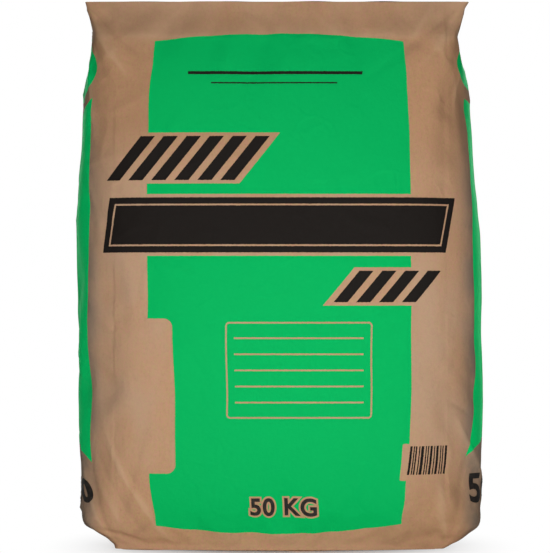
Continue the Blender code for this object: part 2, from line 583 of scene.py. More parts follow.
def foldPaper(form):
    rng = np.random.default_rng(creases["seed"])
    mesh = form.data
    points = readPoints(mesh)
    normals = readNormals(mesh)
    u, v, isWall = paperMap(mesh)
    z = points[:, 2]
    relief = foldRelief(u, v, foldList(rng))
    fold = mesh.attributes.new("fold", "FLOAT", "POINT")
    fold.data.foreach_set("value", relief * isWall)
    begins, full = creases["sideTurn"]
    onSide = np.clip((np.abs(normals[:, 0]) - begins) / (full - begins), 0, 1)
    middle = np.exp(-np.abs(points[:, 1]) / creases["middleFoldWidth"])
    relief += onSide * creases["middleFold"] * middle
    dents = noiseField(points * creases["dentStretch"], creases["dentSize"], 3)
    small = noiseField(points, creases["smallDentSize"], 5)
    onFront = (points[:, 1] < 0) & (np.abs(points[:, 0]) < creases["frontHalf"][1])
    quiet = np.where(onFront, creases["frontShare"], 1.0)
    relief += quiet * (creases["dent"] * dents + creases["smallDent"] * small)
    rim = np.minimum(sack["top"] - z, z - sack["bottom"])
    relief *= np.clip(rim / creases["rimFade"], 0, 1) * isWall
    points += normals * relief[:, None]

    # the base bows down a little, so its two ends stand just off the floor
    points[:, 2] += baseLift(points[:, 0]) * np.clip(1 - z / creases["baseHeight"], 0, 1)
    # the folded top edge isn't quite straight
    nearTop = np.clip(1 - (sack["top"] - z) / creases["rimHeight"], 0, 1)
    wave = noiseField(points * (1, 1, 0), creases["rimWaveSize"], 8)
    points[:, 2] += nearTop * (creases["rimWave"] * wave + creases["rimRise"])
    # the seat that the valve sleeve lies in, open at the left end
    points[:, 2] -= creases["seatDepth"] * nearTop * sleeveMouth(points[:, 0], points[:, 1])
    writePoints(mesh, points)


# The glued lap down the back, where the flat paper was closed into a tube

lap = {
    "free": 0.159,           # sideways place of its free edge and of its hidden one
    "hidden": 0.117,
    "behind": 0.030,         # only the paper further back than this is used
    "endGap": 0.0012,        # from the folded edges of the blocks
    "freeRise": 0.0006,      # the free edge stands proud, the other one fades into the paper
    "hiddenRise": 0.00012,
    "paper": 0.0005,
}


def addLap(form):
    deselectAll()
    strip = form.copy()
    strip.data = form.data.copy()
    rename(strip, "back_glued_lap")
    bpy.context.scene.collection.objects.link(strip)
    mesh = openMesh(strip, "FACE")
    for face in mesh.faces:
        face.select = face.calc_center_median().y < lap["behind"]
    bmesh.update_edit_mesh(strip.data)
    bpy.ops.mesh.delete(type="FACE")
    low, high = sack["bottom"] + lap["endGap"], sack["top"] - lap["endGap"]
    for spot, away in (
        ((lap["free"], 0, 0), (1, 0, 0)), ((lap["hidden"], 0, 0), (-1, 0, 0)),
        ((0, 0, high), (0, 0, 1)), ((0, 0, low), (0, 0, -1)),
    ):
        cutAt(spot, away, clear=True)
    bpy.ops.object.mode_set(mode="OBJECT")
    points = readPoints(strip.data)
    part = (lap["free"] - points[:, 0]) / (lap["free"] - lap["hidden"])
    rise = lap["freeRise"] + (lap["hiddenRise"] - lap["freeRise"]) * part
    writePoints(strip.data, points + readNormals(strip.data) * rise[:, None])
    thicken(strip, lap["paper"])
    return strip


# Cover sheets pasted over the two folded blocks

covers = {
    "paper": 0.0005,
    "gap": 0.0002,
    "spacing": 0.0026,       # grid of a sheet
    "cornerRadius": 0.005,
    "lapHalf": 0.013,        # the two long flaps under a sheet overlap near its middle
    "lapAside": 0.004,
    "lapRise": 0.00035,
    "cornerRise": 0.00030,   # the corner folds under its ends
    "softness": 0.0030,
    "ripple": 0.00022,
    "rippleSize": 0.030,
    "rippleStretch": (0.5, 1, 1),
    "cutWave": 0.0006,       # the cut edges aren't quite straight
    "cutWaveSize": 0.050,
    "edgeLift": 0.0011,      # and stand off in places
    "edgeLiftSize": 0.060,
    "edgeLiftNoise": (2.2, 0.1),    # what its noise is multiplied by, and what is taken off
    "edgeReach": 0.007,
    "edgeBend": 1.6,
    "mouthRise": 0.0003,     # over the open mouth of the valve sleeve
}


def softStep(value, softness):
    part = np.clip(value / softness + 0.5, 0, 1)
    return part * part * (3 - 2 * part)


def layersUnder(x, y, left, right, half):
    # what the folds under a cover sheet raise it by
    end = np.minimum(x - left, right - x)
    corner = softStep(half - end - np.abs(y), covers["softness"])
    middle = softStep(covers["lapHalf"] - np.abs(y + covers["lapAside"]), covers["softness"])
    return covers["cornerRise"] * corner + covers["lapRise"] * middle


def coverPoints(grid, low, high, seed):
    # where each point of a cut sheet lies, and how high it stands
    middleX, halfX, half = (low.x + high.x) / 2, (high.x - low.x) / 2, high.y
    x = middleX + grid[:, 0] * halfX
    radius = covers["cornerRadius"]
    end = halfX - np.abs(x - middleX)
    inCorner = np.clip(radius - end, 0, radius)
    short = radius - np.sqrt(np.clip(radius**2 - inCorner**2, 0, None))
    flat = np.stack((x, np.sign(grid[:, 1]), x * 0), axis=1)
    wave = noiseField(flat, covers["cutWaveSize"], seed)
    y = grid[:, 1] * (half - short + covers["cutWave"] * (wave - 0.5))
    flat = np.stack((x, y, x * 0), axis=1)
    ripple = noiseField(flat * covers["rippleStretch"], covers["rippleSize"], seed + 1)
    gain, off = covers["edgeLiftNoise"]
    lift = np.clip(noiseField(flat, covers["edgeLiftSize"], seed + 2) * gain - off, 0, 1)
    edge = np.clip(1 - np.minimum(end, half - np.abs(y)) / covers["edgeReach"], 0, 1)
    rise = covers["ripple"] * (0.5 + ripple) + layersUnder(x, y, low.x, high.x, half)
    rise += covers["edgeLift"] * lift * edge ** covers["edgeBend"]
    return x, y, rise


def addCoverSheet(node, name, upwards, seed):
    low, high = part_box(node)
    deselectAll()
    bpy.ops.mesh.primitive_plane_add(size=2)
    sheet = bpy.context.object
    rename(sheet, name)
    splitAlong(sheet, 0, round((high.x - low.x) / covers["spacing"]))
    splitAlong(sheet, 1, round((high.y - low.y) / covers["spacing"]))
    x, y, rise = coverPoints(readPoints(sheet.data), low, high, seed)
    away = covers["gap"] + covers["paper"]
    if upwards:
        rise += covers["mouthRise"] * sleeveMouth(x, y)
        z = sack["top"] + creases["rimRise"] + away + rise
    else:
        z = np.maximum(sack["bottom"] - away - rise, 0.0) + baseLift(x)
    writePoints(sheet.data, np.stack((x, y, z), axis=1))
    if not upwards:
        pick(sheet)
        bpy.ops.object.mode_set(mode="EDIT")
        bpy.ops.mesh.select_all(action="SELECT")
        bpy.ops.mesh.flip_normals()
        bpy.ops.object.mode_set(mode="OBJECT")
    thicken(sheet, covers["paper"])
    shadeSmooth(sheet)
    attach(sheet, "root")
    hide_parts(node)
    return sheet


# The valve sleeve: an empty paper tube, pressed nearly flat, its mouth at the left end

sleeve = {
    "around": 64,
    "along": 24,
    "paper": 0.0004,
    "mouth": 0.0042,         # how far the mouth stands open
    "shut": 0.0010,
    "mouthBend": 1.5,
    "lowered": 0.0006,
    "lipWave": 0.0010,
    "lipWaveSize": 0.8,
    "lipReach": 4,           # the higher, the nearer to the mouth its waves stay
    "flatness": 0.8,         # 1 is an ellipse, less is closer to a flat strip
}


def addSleeve():
    low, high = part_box("valve_sleeve")
    deselectAll()
    bpy.ops.mesh.primitive_cylinder_add(
        vertices=sleeve["around"], radius=1, depth=2, end_fill_type="NOTHING",
        rotation=(0, math.pi / 2, 0),
    )
    tube = bpy.context.object
    rename(tube, "valve_sleeve_paper")
    bpy.ops.object.transform_apply(location=False, rotation=True, scale=False)
    splitAlong(tube, 0, sleeve["along"] - 1)
    grid = readPoints(tube.data)
    part = (1 - grid[:, 0]) / 2          # 0 at the inner end, 1 at the mouth
    turn = np.arctan2(grid[:, 2], grid[:, 1])
    circle = np.stack((np.cos(turn), np.sin(turn), part * 0), axis=1)
    wave = noiseField(circle, sleeve["lipWaveSize"], 4)
    x = high.x - part * (high.x - low.x) + sleeve["lipWave"] * wave * part ** sleeve["lipReach"]
    opening = sleeve["shut"] + (sleeve["mouth"] - sleeve["shut"]) * part ** sleeve["mouthBend"]
    y = high.y * np.sign(np.cos(turn)) * np.abs(np.cos(turn)) ** sleeve["flatness"]
    middle = (low.z + high.z) / 2 - sleeve["lowered"] * part
    z = middle + opening / 2 * np.sin(turn)
    writePoints(tube.data, np.stack((x, y, z), axis=1))
    thicken(tube, sleeve["paper"])
    shadeSmooth(tube)
    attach(tube, "root")
    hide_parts("valve_sleeve")
    return tube


# Helpers for the materials

class Varying:
    # a value that varies from place to place: each sum with it becomes a node of its material
    def __init__(self, socket):
        self.socket = socket
        self.tree = socket.id_data

    def __add__(self, other):
        return mathOf("ADD", self, other)

    def __sub__(self, other):
        return mathOf("SUBTRACT", self, other)

    def __rsub__(self, other):
        return mathOf("SUBTRACT", other, self)

    def __mul__(self, other):
        return mathOf("MULTIPLY", self, other)

    def __truediv__(self, other):
        return mathOf("DIVIDE", self, other)

    def __neg__(self):
        return mathOf("MULTIPLY", self, -1.0)

    def __abs__(self):
        return mathOf("ABSOLUTE", self)


def feed(node, inputs):
    # a Varying is linked to the input, a plain number or colour is set on it
    for name, value in inputs.items():
        if isinstance(value, Varying):
            node.id_data.links.new(value.socket, node.inputs[name])
        else:
            node.inputs[name].default_value = value


def nodeOf(tree, kind, inputs, output=0, **settings):
    node = tree.nodes.new("ShaderNode" + kind)
    for name, value in settings.items():
        setattr(node, name, value)
    feed(node, inputs)
    return Varying(node.outputs[output])


def mathOf(operation, *values):
    tree = next(value.tree for value in values if isinstance(value, Varying))
    return nodeOf(tree, "Math", dict(enumerate(values)), operation=operation)


def chain(operation, values):
    result = values[0]
    for value in values[1:]:
        result = mathOf(operation, result, value)
    return result


def lowest(*values):
    return chain("MINIMUM", values)


def highest(*values):
    return chain("MAXIMUM", values)


def lengthOf(across, up):
    return mathOf("SQRT", across * across + up * up)


def ranged(value, fromLow, fromHigh, toLow=0.0, toHigh=1.0):
    # eased from one number to another while the value goes from low to high
    limits = {"From Min": fromLow, "From Max": fromHigh, "To Min": toLow, "To Max": toHigh}
    return nodeOf(value.tree, "MapRange", {"Value": value, **limits}, interpolation_type="SMOOTHSTEP")


def noiseOf(place, scale, detail, roughness):
    inputs = {"Vector": place, "Scale": scale, "Detail": detail, "Roughness": roughness}
    return nodeOf(place.tree, "TexNoise", inputs, "Fac")


def patches(place, scale, detail, roughness, *limits):
    # blotches: they set in between the first two limits and go from the third to the fourth
    return ranged(noiseOf(place, scale, detail, roughness), *limits)


def stretched(place, scale, turn=0.0):
    # the larger the scale along an axis, the finer a pattern at this place is along it
    return nodeOf(place.tree, "Mapping", {"Vector": place, "Scale": scale, "Rotation": (0, 0, turn)})


def mixColour(share, first, second):
    return nodeOf(share.tree, "Mix", {0: share, 6: first, 7: second}, 2, data_type="RGBA")


def objectPlace(tree):
    return nodeOf(tree, "TexCoord", {}, "Object")


def split(place):
    node = place.tree.nodes.new("ShaderNodeSeparateXYZ")
    feed(node, {0: place})
    return [Varying(part) for part in node.outputs]


def curveOf(value, knots):
    # a smooth curve through knots that lie between 0 and 1
    node = value.tree.nodes.new("ShaderNodeFloatCurve")
    curve = node.mapping.curves[0]
    for point, knot in zip(curve.points, (knots[0], knots[-1])):
        point.location = knot
    for knot in knots[1:-1]:
        curve.points.new(*knot)
    node.mapping.update()
    feed(node, {"Value": value})
    return Varying(node.outputs[0])


def bumpOf(height, distance, strength, under=None):
    inputs = {"Height": height, "Distance": distance, "Strength": strength}
    if under is not None:
        inputs["Normal"] = under
    return nodeOf(height.tree, "Bump", inputs)


def newMaterial(name):
    material = bpy.data.materials.new(name)
    material.use_nodes = True
    return material, material.node_tree, material.node_tree.nodes["Principled BSDF"]


def dress(piece, material):
    piece.data.materials.clear()
    piece.data.materials.append(material)


# Brown kraft paper

kraft = {
    "light": (0.510, 0.272, 0.154, 1),
    "dark": (0.358, 0.187, 0.104, 1),
    "rosy": (0.492, 0.226, 0.152, 1),
    "ochre": (0.425, 0.285, 0.118, 1),
    "grey": (0.440, 0.320, 0.230, 1),
    "roughness": 0.80,
    "mottleRoughness": 0.06,
    # each pattern: scale per metre, detail and roughness of its noise, between which values of the
    # noise it sets in and, where given, how strong it is below and above them
    "clouds": (7.0, 2.0, 0.55, 0.32, 0.68),      # broad unevenness
    "mottle": (290.0, 4.0, 0.7, 0.30, 0.70),     # the cloudy look of pressed fibre
    "streaks": (1.0, 3.0, 0.6, 0.30, 0.70),      # upright streaks from the paper machine
    "fibres": (1.0, 2.0, 0.6),
    "rosyPatches": (330.0, 3.0, 0.6, 0.42, 0.62, 0.0, 0.62),
    "ochrePatches": (620.0, 3.0, 0.6, 0.42, 0.62, 0.0, 0.62),
    "greyPatches": (9.0, 4.0, 0.6, 0.36, 0.66, 0.25, 1.0),
    # how finely each is drawn out on each axis
    "streakStretch": (300.0, 300.0, 46.0),
    "uprightStretch": (2600.0, 2600.0, 330.0),
    "slantedStretch": (330.0, 330.0, 2600.0),
    "slantedTurn": 0.6,
    "slantedShare": 0.4,
    "tintStretch": (1.0, 1.0, 0.7),
    "greyStretch": (1.3, 1.3, 0.8),
    # how much of the tone between dark and light comes from each, 1 in all
    "cloudTone": 0.10,
    "mottleTone": 0.34,
    "streakTone": 0.22,
    "fibreTone": 0.34,
    "fibreRange": (0.35, 0.65),
    # how high up the sack (1 is the top), and how grey the paper is made there; the grey at the very
    # top is a painted reflection on the band that leans back
    "greyAt": (
        (0.0, 0.08), (0.09, 0.12), (0.22, 0.40), (0.45, 0.46), (0.66, 0.38), (0.80, 0.08),
        (0.91, 0.08), (0.95, 0.28), (1.0, 0.32),
    ),
    # fine creases: the scale of the large net and of the small one, and how strong the small one is
    "crinkleScale": (17.0, 41.0),
    "crinkleSmall": 0.4,
    "crinkleLine": (0.0, 0.16, 1.0, 0.0),
    # for a net of scale 1: scale and detail of the noise that warps it, and how far it moves it
    "crinkleWarp": (0.8, 2.0, 0.55),
    # and the pattern that keeps parts of it
    "crinkleKept": (0.55, 1.0, 0.55, 0.48, 0.66),
    # height in metres, and strength
    "mottleBump": (0.00016, 0.6),
    "fibreBump": (0.00006, 0.8),
    "crinkleBump": (0.0011, 0.55),
}


def crinkles(place, scale):
    # a broken net of fine creases: the borders of warped cells, faded out in places
    tree = place.tree
    warpScale, detail, warpBy = kraft["crinkleWarp"]
    warp = {"Vector": place, "Scale": scale * warpScale, "Detail": detail}
    shift = {0: nodeOf(tree, "TexNoise", warp, "Color"), 1: (warpBy / scale,) * 3, 2: place}
    warped = nodeOf(tree, "VectorMath", shift, operation="MULTIPLY_ADD")
    cells = {"Vector": warped, "Scale": scale}
    border = nodeOf(tree, "TexVoronoi", cells, "Distance", feature="DISTANCE_TO_EDGE")
    keptScale, *kept = kraft["crinkleKept"]
    return ranged(border, *kraft["crinkleLine"]) * patches(place, scale * keptScale, *kept)


def lightened(colour, lighter):
    return tuple(min(1.0, part * lighter) for part in colour[:3]) + (1,)


def kraftLook(place, lighter=1.0):
    # the colour, the relief and the mottle of bare kraft paper
    mottle = patches(place, *kraft["mottle"])
    streaks = patches(stretched(place, kraft["streakStretch"]), *kraft["streaks"])
    upright = noiseOf(stretched(place, kraft["uprightStretch"]), *kraft["fibres"])
    slanted = stretched(place, kraft["slantedStretch"], kraft["slantedTurn"])
    slantedShare = kraft["slantedShare"]
    fibres = upright * (1 - slantedShare) + noiseOf(slanted, *kraft["fibres"]) * slantedShare
    tone = patches(place, *kraft["clouds"]) * kraft["cloudTone"]
    tone += mottle * kraft["mottleTone"]
    tone += streaks * kraft["streakTone"]
    tone += ranged(fibres, *kraft["fibreRange"]) * kraft["fibreTone"]
    colour = mixColour(tone, lightened(kraft["dark"], lighter), lightened(kraft["light"], lighter))
    tinted = stretched(place, kraft["tintStretch"])
    for tint in ("rosy", "ochre"):
        share = patches(tinted, *kraft[tint + "Patches"])
        colour = mixColour(share, colour, lightened(kraft[tint], lighter))
    greying = patches(stretched(place, kraft["greyStretch"]), *kraft["greyPatches"])
    # greyer by height; at the very top this grey is a painted reflection
    greying *= curveOf(split(place)[2] / sack["top"], kraft["greyAt"])
    colour = mixColour(greying, colour, lightened(kraft["grey"], lighter))
    large, small = (crinkles(place, scale) for scale in kraft["crinkleScale"])
    normal = bumpOf(mottle, *kraft["mottleBump"])
    normal = bumpOf(fibres, *kraft["fibreBump"], normal)
    normal = bumpOf(large + small * kraft["crinkleSmall"], *kraft["crinkleBump"], normal)
    return colour, normal, mottle


def finishPaper(shader, colour, normal, mottle, roughness, specular):
    # what the kinds of kraft paper have in common
    feed(shader, {
        "Base Color": colour,
        "Roughness": mottle * kraft["mottleRoughness"] + roughness,
        "Specular IOR Level": specular,
        "Normal": normal,
    })


# What is printed on the sack: plain fields, bars and rules

printing = {
    # the broad green field on the front: up, and how far round its edge lies, in metres
    "fieldLeft": (
        (0.0000, 0.1290), (0.0347, 0.1297), (0.0550, 0.1332), (0.0754, 0.1352), (0.1160, 0.1362),
        (0.2380, 0.1364), (0.2990, 0.1360), (0.4006, 0.1318), (0.4412, 0.1286), (0.4819, 0.1255),
        (0.5196, 0.1213), (0.5600, 0.1205),
    ),
    "fieldRight": (
        (0.0000, 0.1228), (0.0347, 0.1249), (0.0550, 0.1296), (0.0754, 0.1320), (0.1160, 0.1354),
        (0.1567, 0.1366), (0.1973, 0.1368), (0.2380, 0.1358), (0.2990, 0.1354), (0.4006, 0.1370),
        (0.4412, 0.1379), (0.4616, 0.1370), (0.4819, 0.1338), (0.5023, 0.1292), (0.5196, 0.1271),
        (0.5600, 0.1260),
    ),
    "fieldTop": 0.5302,
    "fieldTopDrop": 0.0080,  # how much lower the top is at its two ends
    "fieldFoot": 0.0192,
    "fieldFootRise": 0.0101,     # how much higher the foot is there
    "fieldFootTilt": 0.010,  # how steeply it rises to the right
    "fieldCorner": 0.1255,   # half its width, for the bow of its top and foot
    # places left bare at its two sides: left, right, low, high, radius and lean
    "notches": (
        (-0.3, -0.1096, 0.0820, 0.2394, 0.009, -0.015),
        (0.1268, 0.3, 0.0747, 0.1119, 0.0015, 0.080),
    ),
    # the narrow green fields on the two sides: up, and how far round their edge lies
    "leftSide": (
        (0.0930, 0.2050), (0.1400, 0.2125), (0.1600, 0.2150), (0.2100, 0.2149), (0.2790, 0.2110),
        (0.3200, 0.2076), (0.3610, 0.2038), (0.4020, 0.2020), (0.4430, 0.1966), (0.4700, 0.1894),
    ),
    "rightSide": (
        (0.0990, 0.2040), (0.1300, 0.2185), (0.1540, 0.2250), (0.1850, 0.2290), (0.2200, 0.2225),
        (0.2600, 0.2178), (0.3600, 0.2185), (0.4200, 0.2265), (0.4430, 0.2265), (0.4700, 0.2220),
    ),
    # the height of their foot and top in the middle, left and right
    "sideFoot": (0.1069, 0.1137),
    "sideTop": (0.4480, 0.4623),
    "sideMiddle": 0.260,
    # this far from the middle the foot is lower and the top higher, by these
    "sideArchReach": 0.055,
    "sideArch": (0.0154, 0.0115),
    # the plain green oval above each of them, left and right: how far round and how high its
    # middle lies, half its width and half its height
    "ovals": ((0.2600, 0.4985, 0.0782, 0.0367), (0.2600, 0.5035, 0.0745, 0.0275)),
    # black bars with bare paper round them: left, right, low and high of each
    "band": (-0.1790, 0.1790, 0.3065, 0.3625),
    "bandSlope": 0.22,
    "bandLine": (0.0065, 0.0082),    # the bare line inside its edge: from and to
    "keyline": 0.0034,       # width of the bare paper
    "upperStripes": (-0.1610, -0.0200, 0.3800, 0.4250),
    "lowerStripes": (0.0640, 0.1580, 0.2560, 0.2880),
    "stripePitch": 0.0235,
    "stripeShare": 0.31,     # half of a stripe's width, as a part of the pitch
    "stripeSlope": 0.85,
    # an empty form of bare rules in a bare frame
    "panel": (-0.0560, 0.0960, 0.1380, 0.2360),
    "panelRadius": 0.004,
    "panelFrame": 0.0016,
    "panelRules": 0.0163,    # from one rule to the next
    "panelMargin": 0.0090,
    "ruleWidth": 0.0016,
    "topRules": ((-0.0880, 0.0880, 0.4880, 0.4912), (-0.0640, 0.0640, 0.4785, 0.4800)),
    # a small block of upright black bars in the right bare place: foot and top
    "uprightBars": (0.0807, 0.1095),
    "uprightLean": 0.12,
    # left edge and width of each bar
    "bars": (
        (0.1345, 0.0024), (0.1382, 0.0013), (0.1404, 0.0016), (0.1439, 0.0013), (0.1463, 0.0030),
        (0.1509, 0.0013), (0.1533, 0.0013), (0.1561, 0.0024), (0.1602, 0.0013), (0.1629, 0.0026),
        (0.1674, 0.0013), (0.1700, 0.0014), (0.1731, 0.0024),
    ),
}


def boxAway(u, v, box, radius=0.0):
    # distance from a box with rounded corners: below 0 is inside
    left, right, low, high = box
    across = abs(u - (left + right) / 2) - ((right - left) / 2 - radius)
    up = abs(v - (low + high) / 2) - ((high - low) / 2 - radius)
    if radius == 0.0:
        return highest(across, up)
    outside = lengthOf(highest(across, 0.0), highest(up, 0.0))
    return outside + lowest(highest(across, up), 0.0) - radius


def leaning(u, v, low, high, slope):
    # sideways place on a shape that leans to the right as it rises
    return u - (v - (low + high) / 2) * slope


def offMiddle(value, start, pitch):
    # distance from the middle of the nearest of many equal steps
    return abs(mathOf("FRACT", (value - start) / pitch) - 0.5) * pitch


def without(shape, hole):
    # what is left of a shape around a hole
    return highest(shape, -hole)


def frontField(u, v):
    left = u + curveOf(v, printing["fieldLeft"])
    right = u - curveOf(v, printing["fieldRight"])
    part = u / printing["fieldCorner"]
    bow = part * part
    top = printing["fieldTop"] - bow * printing["fieldTopDrop"]
    foot = bow * printing["fieldFootRise"] + u * printing["fieldFootTilt"] + printing["fieldFoot"]
    field = highest(-left, right, v - top, foot - v)
    for *box, radius, slope in printing["notches"]:
        field = without(field, boxAway(leaning(u, v, *box[2:], slope), v, box, radius))
    return field


def bySide(onRight, left, right):
    # one value on the sack's left, the other on its right
    return onRight * (right - left) + left


def sideField(u, v, onRight):
    away = abs(u)
    edge = bySide(onRight, curveOf(v, printing["leftSide"]), curveOf(v, printing["rightSide"]))
    part = (away - printing["sideMiddle"]) / printing["sideArchReach"]
    bow = part * part
    foot = bySide(onRight, *printing["sideFoot"]) - bow * printing["sideArch"][0]
    top = bySide(onRight, *printing["sideTop"]) + bow * printing["sideArch"][1]
    return highest(edge - away, foot - v, v - top)


def sideOval(u, v, onRight):
    middle, height, halfWidth, halfHeight = (
        bySide(onRight, *pair) for pair in zip(*printing["ovals"])
    )
    part = lengthOf((abs(u) - middle) / halfWidth, (v - height) / halfHeight)
    return (part - 1.0) * halfHeight


def ruledPanel(u, v):
    # the frame and the rules of the empty form
    left, right, low, high = printing["panel"]
    margin, pitch, frame = (printing[name] for name in ("panelMargin", "panelRules", "panelFrame"))
    outline = abs(boxAway(u, v, printing["panel"], printing["panelRadius"]) + frame / 2) - frame / 2
    rules = (pitch - printing["ruleWidth"]) / 2 - offMiddle(v, low, pitch)
    ruled = boxAway(u, v, (left + margin, right - margin, low + margin, high - margin))
    return lowest(outline, highest(rules, ruled))


def uprightBars(u, v):
    # bars of uneven width, side by side
    low, high = printing["uprightBars"]
    lean = leaning(u, v, low, high, printing["uprightLean"])
    bars = [abs(lean - (start + width / 2)) - width / 2 for start, width in printing["bars"]]
    return highest(lowest(*bars), abs(v - (low + high) / 2) - (high - low) / 2)


def stripes(u, v, box):
    # a leaning plate, and the equal leaning bars inside it
    lean = leaning(u, v, *box[2:], printing["stripeSlope"])
    plate = boxAway(lean, v, box)
    pitch = printing["stripePitch"]
    return plate, highest(plate, offMiddle(lean, box[0], pitch) - printing["stripeShare"] * pitch)


def printShapes(tree):
    # distances to the edge of the green and of the black print
    u, v, _ = split(nodeOf(tree, "UVMap", {}, uv_map="print"))
    behind = mathOf("GREATER_THAN", u, 0.5)
    u -= behind
    # the right of the back's print is on the sack's left
    onRight = mathOf("GREATER_THAN", u * (1.0 - behind * 2.0), 0.0)
    band = printing["band"]
    bandBox = boxAway(leaning(u, v, *band[2:], printing["bandSlope"]), v, band)
    lineFrom, lineTo = printing["bandLine"]
    line = abs(bandBox + (lineFrom + lineTo) / 2) - (lineTo - lineFrom) / 2
    upperPlate, upperBars = stripes(u, v, printing["upperStripes"])
    lowerPlate, lowerBars = stripes(u, v, printing["lowerStripes"])
    topRules = [boxAway(u, v, box) for box in printing["topRules"]]
    green = lowest(frontField(u, v), sideField(u, v, onRight), sideOval(u, v, onRight))
    bare = lowest(bandBox, upperPlate, lowerPlate) - printing["keyline"]
    green = without(without(green, bare), ruledPanel(u, v))
    black = lowest(without(bandBox, line), upperBars, lowerBars, *topRules, uprightBars(u, v))
    return green, black


# Ink, wear, cement dust and painted light and shade on the sack's paper

ink = {
    "green": (0.0, 0.400, 0.096, 1),
    "sideGreenPaintedLight": (0.0, 0.600, 0.146, 1),     # the narrow sides are a lighter green, painted light that keeps them as bright as the front
    "paintedLightSideFrom": (0.188, 0.198),
    "mottledGreen": (0.0, 0.30, 0.07, 1),
    "mottledShare": 0.10,
    "black": (0.0125, 0.0100, 0.0086, 1),
    "sheen": 0.5,            # the green is powdery and stays bright where it turns away
    "sheenRoughness": 0.35,
    "sheenTint": (0.02, 1.0, 0.30, 1),
    "smoother": 0.14,        # how much less rough the inks are than the paper
    "specular": 0.05,
    "edge": 0.00016,         # softness of an edge
    "ragged": 0.0009,
    "raggedNoise": (700.0, 2.0, 0.55),
    # what folds do: crests get paler, partly wear and partly painted highlight, hollows get painted
    # shade, and high crests crack the ink; height of the fold from and to, and the share at either end
    "paler": (0.0, 0.0012, 0.0, 0.34),
    "darker": (-0.0012, 0.0, 0.36, 0.0),
    "cracked": (0.0013, 0.0026, 0.0, 0.45),
    "cracks": (260.0, 4.0, 0.7, 0.50, 0.62),
    "crestWearAndHighlight": (0.60, 0.40, 0.25, 1),
    "hollowShadeAndPaste": (0.22, 0.125, 0.075, 1),
}

dustAndShade = {
    "colour": (0.285, 0.262, 0.228, 1),
    "patches": (26.0, 5.0, 0.65, 0.30, 0.70, 0.35, 1.0),
    # each range: from and to, in metres, and the share at either end
    "lessUp": (0.40, 0.54, 1.0, 0.2),         # up the sack: the upper part has less dust and less painted shade
    "side": (0.182, 0.208, 0.05, 0.55),      # away from the sack's middle
    "foot": (0.0, 0.030, 0.12, 0.0),
    # painted shade on the rounded upright corners, darkest where they turn away from the light
    "cornerShade": (0.150, 0.125, 0.100, 1),
    "cornerShadeShare": 0.85,
    "cornerShadeSide": (0.180, 0.207),
    "cornerShadeDepth": (0.0, 0.040, 0.25, 1.0),
    # painted shade: darker near the foot, mostly on the right, and near the top, mostly on the left
    "paintedShade": (0.240, 0.125, 0.058, 1),
    "paintedShadeFoot": (0.03, 0.12, 0.50, 0.0),
    "paintedShadeFootAcross": (0.06, 0.15, 0.2, 1.0),
    "paintedShadeHead": (0.38, 0.45),
    "paintedShadeHeadAcross": (-0.12, 0.12, 0.34, 0.16),
}


def dustedAndShaded(place, colour):
    # grey on the narrow sides, mostly painted shade where they turn away from the light, with cement
    # dust in it, and grey at the foot of the sack; then painted shade near the foot, near the top and
    # on the rounded corners
    x, y, z = split(place)
    patchy = patches(place, *dustAndShade["patches"])
    lessUp = ranged(z, *dustAndShade["lessUp"])
    # grey on the narrow sides is mostly painted shade, with some cement dust; grey at the foot
    share = highest(ranged(abs(x), *dustAndShade["side"]) * lessUp, ranged(z, *dustAndShade["foot"]))
    colour = mixColour(share * patchy, colour, dustAndShade["colour"])
    # painted shade near the foot and near the top
    low = ranged(z, *dustAndShade["paintedShadeFoot"]) * ranged(x, *dustAndShade["paintedShadeFootAcross"])
    high = ranged(z, *dustAndShade["paintedShadeHead"]) * ranged(x, *dustAndShade["paintedShadeHeadAcross"])
    colour = mixColour(highest(low, high) * patchy, colour, dustAndShade["paintedShade"])
    # painted shade on the rounded upright corners
    corner = ranged(abs(x), *dustAndShade["cornerShadeSide"]) * lessUp * ranged(abs(y), *dustAndShade["cornerShadeDepth"])
    return mixColour(corner * dustAndShade["cornerShadeShare"] * patchy, colour, dustAndShade["cornerShade"])


def inked(away):
    # 1 inside a printed shape, 0 outside
    return ranged(away, -ink["edge"], ink["edge"], 1.0, 0.0)


def printedKraft():
    material, tree, shader = newMaterial("printed_kraft_paper")
    place = objectPlace(tree)
    colour, normal, mottle = kraftLook(place)
    fold = nodeOf(tree, "Attribute", {}, "Fac", attribute_name="fold")
    # fold crests lighter, partly wear and partly painted highlight; fold hollows darker, painted shade
    colour = mixColour(ranged(fold, *ink["paler"]), colour, ink["crestWearAndHighlight"])
    colour = mixColour(ranged(fold, *ink["darker"]), colour, ink["hollowShadeAndPaste"])
    # cement dust and painted shade
    colour = dustedAndShaded(place, colour)
    ragged = (noiseOf(place, *ink["raggedNoise"]) - 0.5) * ink["ragged"]
    greenInk, blackInk = (inked(shape + ragged) for shape in printShapes(tree))
    kept = 1.0 - ranged(fold, *ink["cracked"]) * patches(place, *ink["cracks"])
    # painted light: a lighter green on the narrow sides
    green = mixColour(ranged(abs(split(place)[0]), *ink["paintedLightSideFrom"]), ink["green"], ink["sideGreenPaintedLight"])
    green = mixColour(ranged(mottle, 0.0, 1.0, 0.0, ink["mottledShare"]), green, ink["mottledGreen"])
    colour = mixColour(greenInk * kept, colour, green)
    colour = mixColour(blackInk * kept, colour, ink["black"])
    roughness = kraft["roughness"] - highest(greenInk, blackInk) * ink["smoother"]
    finishPaper(shader, colour, normal, mottle, roughness, ink["specular"])
    feed(shader, {
        "Sheen Weight": greenInk * ink["sheen"],
        "Sheen Roughness": ink["sheenRoughness"],
        "Sheen Tint": ink["sheenTint"],
    })
    return material


# The paper of the cover sheets, with soaked-in paste near its edges and spilt cement

